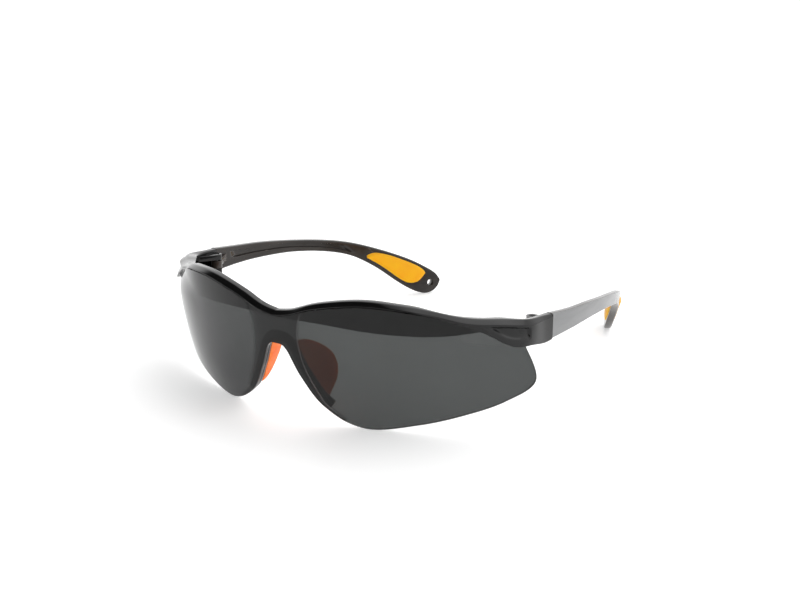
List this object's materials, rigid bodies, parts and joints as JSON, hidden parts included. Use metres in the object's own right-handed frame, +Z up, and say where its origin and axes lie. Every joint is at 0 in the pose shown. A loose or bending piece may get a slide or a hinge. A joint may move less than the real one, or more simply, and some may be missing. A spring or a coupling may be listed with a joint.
{
  "type": "safety glasses",
  "caption": "Wraparound safety glasses with a one-piece smoked lens, brow frame, folding temples with soft grips and a padded nosepiece.",
  "frame": {"origin": "on the table, under the middle of the open glasses", "axes": "+X towards the wearer's left, +Y from the lens back along the temples, +Z up"},
  "size_m": [0.1436, 0.1604, 0.045],
  "materials": {
    "smoked_lens": "polished grey-smoke polycarbonate",
    "gloss_black": "glossy black moulding",
    "smoke_plastic": "glossy dark smoke moulding",
    "orange_rubber": "satin soft-touch rubber",
    "steel": "turned steel"
  },
  "bodies": {
    "front": {"lens": "smoked_lens", "brow_frame": "gloss_black", "nose_clip": "gloss_black", "left_nose_pad": "orange_rubber", "right_nose_pad": "orange_rubber", "left_hinge_screw": "steel", "right_hinge_screw": "steel"},
    "left_temple": {"left_temple": "smoke_plastic", "left_temple_grip": "orange_rubber"},
    "right_temple": {"right_temple": "smoke_plastic", "right_temple_grip": "orange_rubber"}
  },
  "joints": [
    {"name": "left_temple_hinge", "type": "hinge", "parent": "front", "child": "left_temple", "pos_m": [0.065, -0.02913, 0.0316], "axis": [0, 0, 1], "range_deg": [0, 90]},
    {"name": "right_temple_hinge", "type": "hinge", "parent": "front", "child": "right_temple", "pos_m": [-0.065, -0.02913, 0.0316], "axis": [0, 0, -1], "range_deg": [0, 80]}
  ]
}
